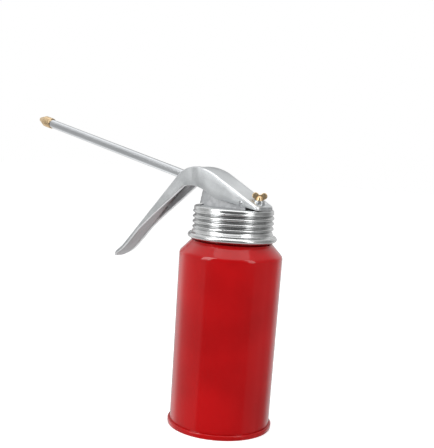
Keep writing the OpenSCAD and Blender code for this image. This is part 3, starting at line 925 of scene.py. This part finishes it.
carried = {
    "pump_head": headCast, "barrel_foot": headCast,
    "head_gasket": blackRubber, "gland_packing": blackRubber, "piston_seal": blackRubber,
    "gland_nut": turnedBrass, "piston": turnedBrass, "piston_nut": turnedBrass,
    "inlet_cage": turnedBrass, "strainer": turnedBrass,
    "plunger_rod": drawnSteel, "pump_barrel": drawnSteel, "riser_tube": drawnSteel,
    "dip_tube": drawnSteel, "inlet_ball": drawnSteel, "outlet_ball": drawnSteel,
}
for nodeName, material in carried.items():
    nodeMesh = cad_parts[nodeName].data
    if not nodeMesh.materials:
        nodeMesh.materials.append(material)
    for i in range(len(nodeMesh.materials)):
        nodeMesh.materials[i] = material
print("carried nodes painted:", len(carried))


# ---- studio ----

studio = {
    "floor": (0.90, 0.90, 0.90), "floorSize": 3000, "floorGlow": 0.48,
    "skyBehind": 0.32, "skyFront": 0.12, "skyTop": 0.38, "skyBelow": 0.60, "skySeen": 1.0,
    # strips of light: degrees round from the camera, cosine of the half width, softness, strength
    "bands": [(-97, 0.73, 0.05, 0.28), (-146, 0.93, 0.10, 0.45), (75, 0.945, 0.02, 0.15),
              (152, 0.93, 0.08, 0.40)],
    # soft boxes: degrees round from the camera, elevation, distance, width, height, power
    "boxes": {"leftBox": (-54, 27, 0.9, 0.35, 0.9, 4.9), "rightBox": (48, 26, 0.9, 0.25, 0.9, 2.5),
              "topBox": (10, 80, 1.0, 0.9, 0.9, 3.0)},
    "azimuth": 37.06, "elevation": 12.88, "distance": 0.47675, "roll": 4.16, "lens": 64.65,
    "target": (0.0, 0.0, 0.060), "shift": (-0.01935, 0.2295), "lightsAimAt": (0.0, 0.0, 0.08),
}


def floorMaterial():
    # a lit sheet: it glows a little where it is seen directly
    # polished surfaces reflect the tent through it, not the sheet
    material, tree, shader = newMaterial("studio floor")
    tone = noiseNode(tree, objectCoords(tree), 3.0, 2.0)
    shade = tuple(0.97 * c for c in studio["floor"])
    link(tree, mixColours(tree, tone, shade, studio["floor"]), shader.inputs["Base Color"])
    shader.inputs["Roughness"].default_value = 0.6
    path = tree.nodes.new("ShaderNodeLightPath")
    link(tree, mathNode(tree, "MULTIPLY", path.outputs["Is Camera Ray"], studio["floorGlow"]),
         shader.inputs["Emission Strength"])
    shader.inputs["Emission Color"].default_value = (1, 1, 1, 1)
    choose = tree.nodes.new("ShaderNodeMixShader")
    link(tree, path.outputs["Is Glossy Ray"], choose.inputs["Fac"])
    link(tree, shader.outputs[0], choose.inputs[1])
    link(tree, tree.nodes.new("ShaderNodeBsdfTransparent").outputs[0], choose.inputs[2])
    link(tree, choose.outputs[0], tree.nodes["Material Output"].inputs["Surface"])
    return material


def makeFloor():
    size = studio["floorSize"]
    corners = [(-size, -size, 0), (size, -size, 0), (size, size, 0), (-size, size, 0)]
    floor = makeObject("studioFloor", corners, [(0, 1, 2, 3)], floorMaterial())


def addLight(name, azimuth, elevation, distance, width, height, power):
    # azimuth and elevation as seen from the can's middle, in the same sense as the camera's
    a, e = math.radians(azimuth), math.radians(elevation)
    back = Vector((math.sin(a) * math.cos(e), -math.cos(a) * math.cos(e), math.sin(e)))
    data = bpy.data.lights.new(name, "AREA")
    data.shape, data.size, data.size_y, data.energy = "RECTANGLE", width, height, power
    lamp = bpy.data.objects.new(name, data)
    lamp.location = Vector(studio["lightsAimAt"]) + back * distance
    lamp.rotation_mode = "QUATERNION"
    lamp.rotation_quaternion = back.to_track_quat("Z", "Y")
    bpy.context.scene.collection.objects.link(lamp)


def skyBand(tree, direction, azimuth, edge, softness, strength):
    # an upright soft strip of light, azimuth degrees round from the camera
    flat = tree.nodes.new("ShaderNodeVectorMath")
    flat.operation = "MULTIPLY"
    flat.inputs[1].default_value = (1, 1, 0)
    link(tree, direction, flat.inputs[0])
    level = tree.nodes.new("ShaderNodeVectorMath")
    level.operation = "NORMALIZE"
    link(tree, flat.outputs[0], level.inputs[0])
    towards = tree.nodes.new("ShaderNodeVectorMath")
    towards.operation = "DOT_PRODUCT"
    a = math.radians(studio["azimuth"] + azimuth)
    towards.inputs[1].default_value = (math.sin(a), -math.cos(a), 0)
    link(tree, level.outputs[0], towards.inputs[0])
    facing = towards.outputs["Value"]
    return rangeNode(tree, facing, edge - softness, edge + softness, 0.0, strength)


def makeWorld():
    # brightest behind the can and dim on the near side, as a tent of white card is
    # seen directly it is plain white
    world = bpy.data.worlds.new("studio")
    bpy.context.scene.world = world
    world.use_nodes = True
    tree = world.node_tree
    near = tree.nodes["Background"]
    seen = tree.nodes.new("ShaderNodeBackground")
    seen.inputs["Strength"].default_value = studio["skySeen"]
    seen.inputs["Color"].default_value = (1, 1, 1, 1)
    near.inputs["Color"].default_value = (1, 1, 1, 1)
    towards = tree.nodes.new("ShaderNodeVectorMath")
    towards.operation = "DOT_PRODUCT"
    a = math.radians(studio["azimuth"])
    towards.inputs[1].default_value = (-math.sin(a), math.cos(a), 0)
    direction = tree.nodes.new("ShaderNodeTexCoord").outputs["Generated"]
    link(tree, direction, towards.inputs[0])
    level = rangeNode(tree, towards.outputs["Value"], -0.5, 0.8,
                      studio["skyFront"], studio["skyBehind"])
    height = tree.nodes.new("ShaderNodeSeparateXYZ")
    link(tree, direction, height.inputs[0])
    overhead = rangeNode(tree, height.outputs["Z"], 0.35, 0.9, 0.0, studio["skyTop"])
    below = rangeNode(tree, height.outputs["Z"], -0.85, -0.38, studio["skyBelow"], 0.0)
    total = mathNode(tree, "ADD", mathNode(tree, "ADD", level, overhead), below)
    for band in studio["bands"]:
        total = mathNode(tree, "ADD", total, skyBand(tree, direction, *band))
    link(tree, total, near.inputs["Strength"])
    choose = tree.nodes.new("ShaderNodeMixShader")
    link(tree, tree.nodes.new("ShaderNodeLightPath").outputs["Is Camera Ray"], choose.inputs["Fac"])
    link(tree, near.outputs[0], choose.inputs[1])
    link(tree, seen.outputs[0], choose.inputs[2])
    link(tree, choose.outputs[0], tree.nodes["World Output"].inputs["Surface"])


def makeStudio():
    makeFloor()
    makeWorld()
    for name, (around, *rest) in studio["boxes"].items():
        addLight(name, studio["azimuth"] + around, *rest)


def makeCamera():
    a, e = math.radians(studio["azimuth"]), math.radians(studio["elevation"])
    roll = math.radians(studio["roll"])
    right = Vector((math.cos(a), math.sin(a), 0))
    back = Vector((math.sin(a) * math.cos(e), -math.cos(a) * math.cos(e), math.sin(e)))
    up = back.cross(right)
    tiltedRight = right * math.cos(roll) + up * math.sin(roll)
    tiltedUp = up * math.cos(roll) - right * math.sin(roll)
    data = bpy.data.cameras.new("camera")
    data.lens, data.sensor_width = studio["lens"], 36.0
    data.shift_x, data.shift_y = studio["shift"]
    data.clip_start, data.clip_end = 0.01, 20
    camera = bpy.data.objects.new("camera", data)
    turn = Matrix((tiltedRight, tiltedUp, back)).transposed().to_4x4()
    place = Vector(studio["target"]) + back * studio["distance"]
    camera.matrix_world = Matrix.Translation(place) @ turn
    bpy.context.scene.collection.objects.link(camera)
    bpy.context.scene.camera = camera


makeStudio()
makeCamera()
bpy.context.scene.view_settings.view_transform = "Standard"
print("studio set")
